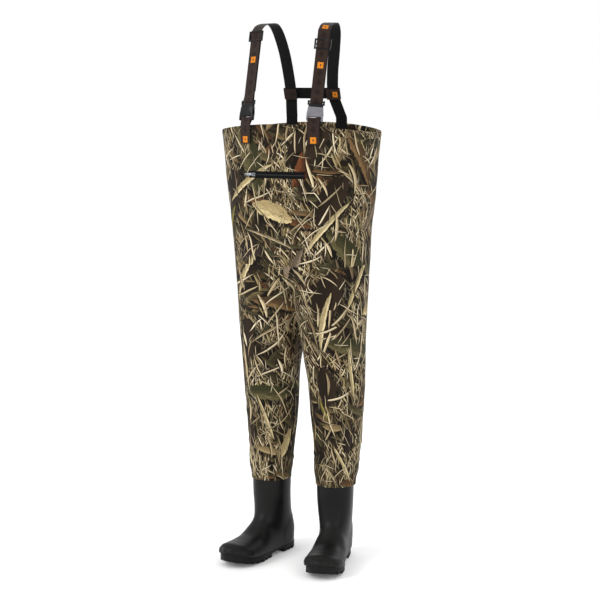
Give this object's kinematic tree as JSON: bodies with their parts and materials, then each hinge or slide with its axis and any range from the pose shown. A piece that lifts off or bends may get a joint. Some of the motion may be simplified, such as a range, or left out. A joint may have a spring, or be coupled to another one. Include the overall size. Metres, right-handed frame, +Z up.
{
  "type": "chest waders",
  "caption": "Camouflage neoprene chest waders with bonded rubber boots, a zipped chest pocket and buckled adjustable shoulder straps.",
  "frame": {"origin": "on the floor, below the middle of the bounding box", "axes": "+Z up, -Y the wearer's front, +X the wearer's left"},
  "size_m": [0.4596, 0.3302, 1.5034],
  "materials": {
    "camo_neoprene": "matte",
    "lining": "matte",
    "webbing": "matte",
    "label": "matte",
    "boot_rubber": "satin",
    "buckle_plastic": "satin",
    "zipper": "matte",
    "zipper_metal": "satin"
  },
  "bodies": {
    "waders": {"torso_front": "camo_neoprene", "torso_back": "camo_neoprene", "crotch_gusset": "camo_neoprene", "rim_binding": "camo_neoprene", "leg_front_left": "camo_neoprene", "leg_back_left": "camo_neoprene", "boot_band_left": "camo_neoprene", "side_seam_tape_left": "lining", "boot_insole_left": "lining", "boot_shell_left": "boot_rubber", "boot_outsole_left": "boot_rubber", "front_tab_left": "webbing", "back_anchor_left": "webbing", "tab_label_left": "label", "buckle_female_left": "buckle_plastic", "leg_front_right": "camo_neoprene", "leg_back_right": "camo_neoprene", "boot_band_right": "camo_neoprene", "side_seam_tape_right": "lining", "boot_insole_right": "lining", "boot_shell_right": "boot_rubber", "boot_outsole_right": "boot_rubber", "front_tab_right": "webbing", "back_anchor_right": "webbing", "tab_label_right": "label", "buckle_female_right": "buckle_plastic", "pocket_bag": "lining", "zipper_tape_lower": "zipper", "zipper_tape_upper": "zipper", "zipper_coil": "zipper"},
    "harness": {"cross_strap": "webbing", "shoulder_strap_left": "webbing", "strap_lower_left": "webbing", "strap_return_left": "webbing", "shoulder_strap_right": "webbing", "strap_lower_right": "webbing", "strap_return_right": "webbing"},
    "buckle_left": {"buckle_male_left": "buckle_plastic"},
    "outer_prong_left": {"buckle_prong_outer_left": "buckle_plastic"},
    "inner_prong_left": {"buckle_prong_inner_left": "buckle_plastic"},
    "adjuster_left": {"adjuster_left": "buckle_plastic", "strap_end_left": "webbing"},
    "buckle_right": {"buckle_male_right": "buckle_plastic"},
    "outer_prong_right": {"buckle_prong_outer_right": "buckle_plastic"},
    "inner_prong_right": {"buckle_prong_inner_right": "buckle_plastic"},
    "adjuster_right": {"adjuster_right": "buckle_plastic", "strap_end_right": "webbing"},
    "slider": {"zipper_slider": "zipper_metal"},
    "pull": {"zipper_pull": "zipper_metal"}
  },
  "joints": [
    {"name": "harness_fold", "type": "hinge", "parent": "waders", "child": "harness", "pos_m": [0, 0.13853, 1.241], "axis": [-1, 0, 0], "range_deg": [0, 120], "deforming": ["strap_lower_left", "strap_return_left", "strap_lower_right", "strap_return_right"]},
    {"name": "buckle_release_left", "type": "slide", "parent": "harness", "child": "buckle_left", "axis": [0, 0.2689, 0.9632], "range_m": [0, 0.028]},
    {"name": "prong_squeeze_outer_left", "type": "hinge", "parent": "buckle_left", "child": "outer_prong_left", "pos_m": [0.11178, -0.09488, 1.275], "axis": [-0.2588, 0.9303, -0.2598], "range_deg": [0, 8], "stiffness_Nm_per_rad": 0.05, "deforming": ["buckle_prong_outer_left"]},
    {"name": "prong_squeeze_inner_left", "type": "hinge", "parent": "buckle_left", "child": "inner_prong_left", "pos_m": [0.08822, -0.10097, 1.2767], "axis": [0.2588, -0.9303, 0.2598], "range_deg": [0, 8], "stiffness_Nm_per_rad": 0.05, "deforming": ["buckle_prong_inner_left"]},
    {"name": "adjuster_slide_left", "type": "slide", "parent": "harness", "child": "adjuster_left", "axis": [0, -0.2689, -0.9632], "range_m": [0, 0.07]},
    {"name": "buckle_release_right", "type": "slide", "parent": "harness", "child": "buckle_right", "axis": [0, 0.2689, 0.9632], "range_m": [0, 0.028]},
    {"name": "prong_squeeze_outer_right", "type": "hinge", "parent": "buckle_right", "child": "outer_prong_right", "pos_m": [-0.11178, -0.09488, 1.275], "axis": [-0.2588, -0.9303, 0.2598], "range_deg": [0, 8], "stiffness_Nm_per_rad": 0.05, "deforming": ["buckle_prong_outer_right"]},
    {"name": "prong_squeeze_inner_right", "type": "hinge", "parent": "buckle_right", "child": "inner_prong_right", "pos_m": [-0.08822, -0.10097, 1.2767], "axis": [0.2588, 0.9303, -0.2598], "range_deg": [0, 8], "stiffness_Nm_per_rad": 0.05, "deforming": ["buckle_prong_inner_right"]},
    {"name": "adjuster_slide_right", "type": "slide", "parent": "harness", "child": "adjuster_right", "axis": [0, -0.2689, -0.9632], "range_m": [0, 0.09]},
    {"name": "zipper_slide", "type": "hinge", "parent": "waders", "child": "slider", "pos_m": [0, 0.34183, 1.095], "axis": [0, 0, 1], "range_deg": [0, 16.9]},
    {"name": "zipper_pull_swing", "type": "hinge", "parent": "slider", "child": "pull", "pos_m": [-0.07765, -0.11607, 1.095], "axis": [0, 0, 1], "range_deg": [0, 170]}
  ],
  "couplings": [
    {"joint": "prong_squeeze_inner_left", "follows": "prong_squeeze_outer_left", "ratio": 1},
    {"joint": "prong_squeeze_inner_right", "follows": "prong_squeeze_outer_right", "ratio": 1}
  ]
}
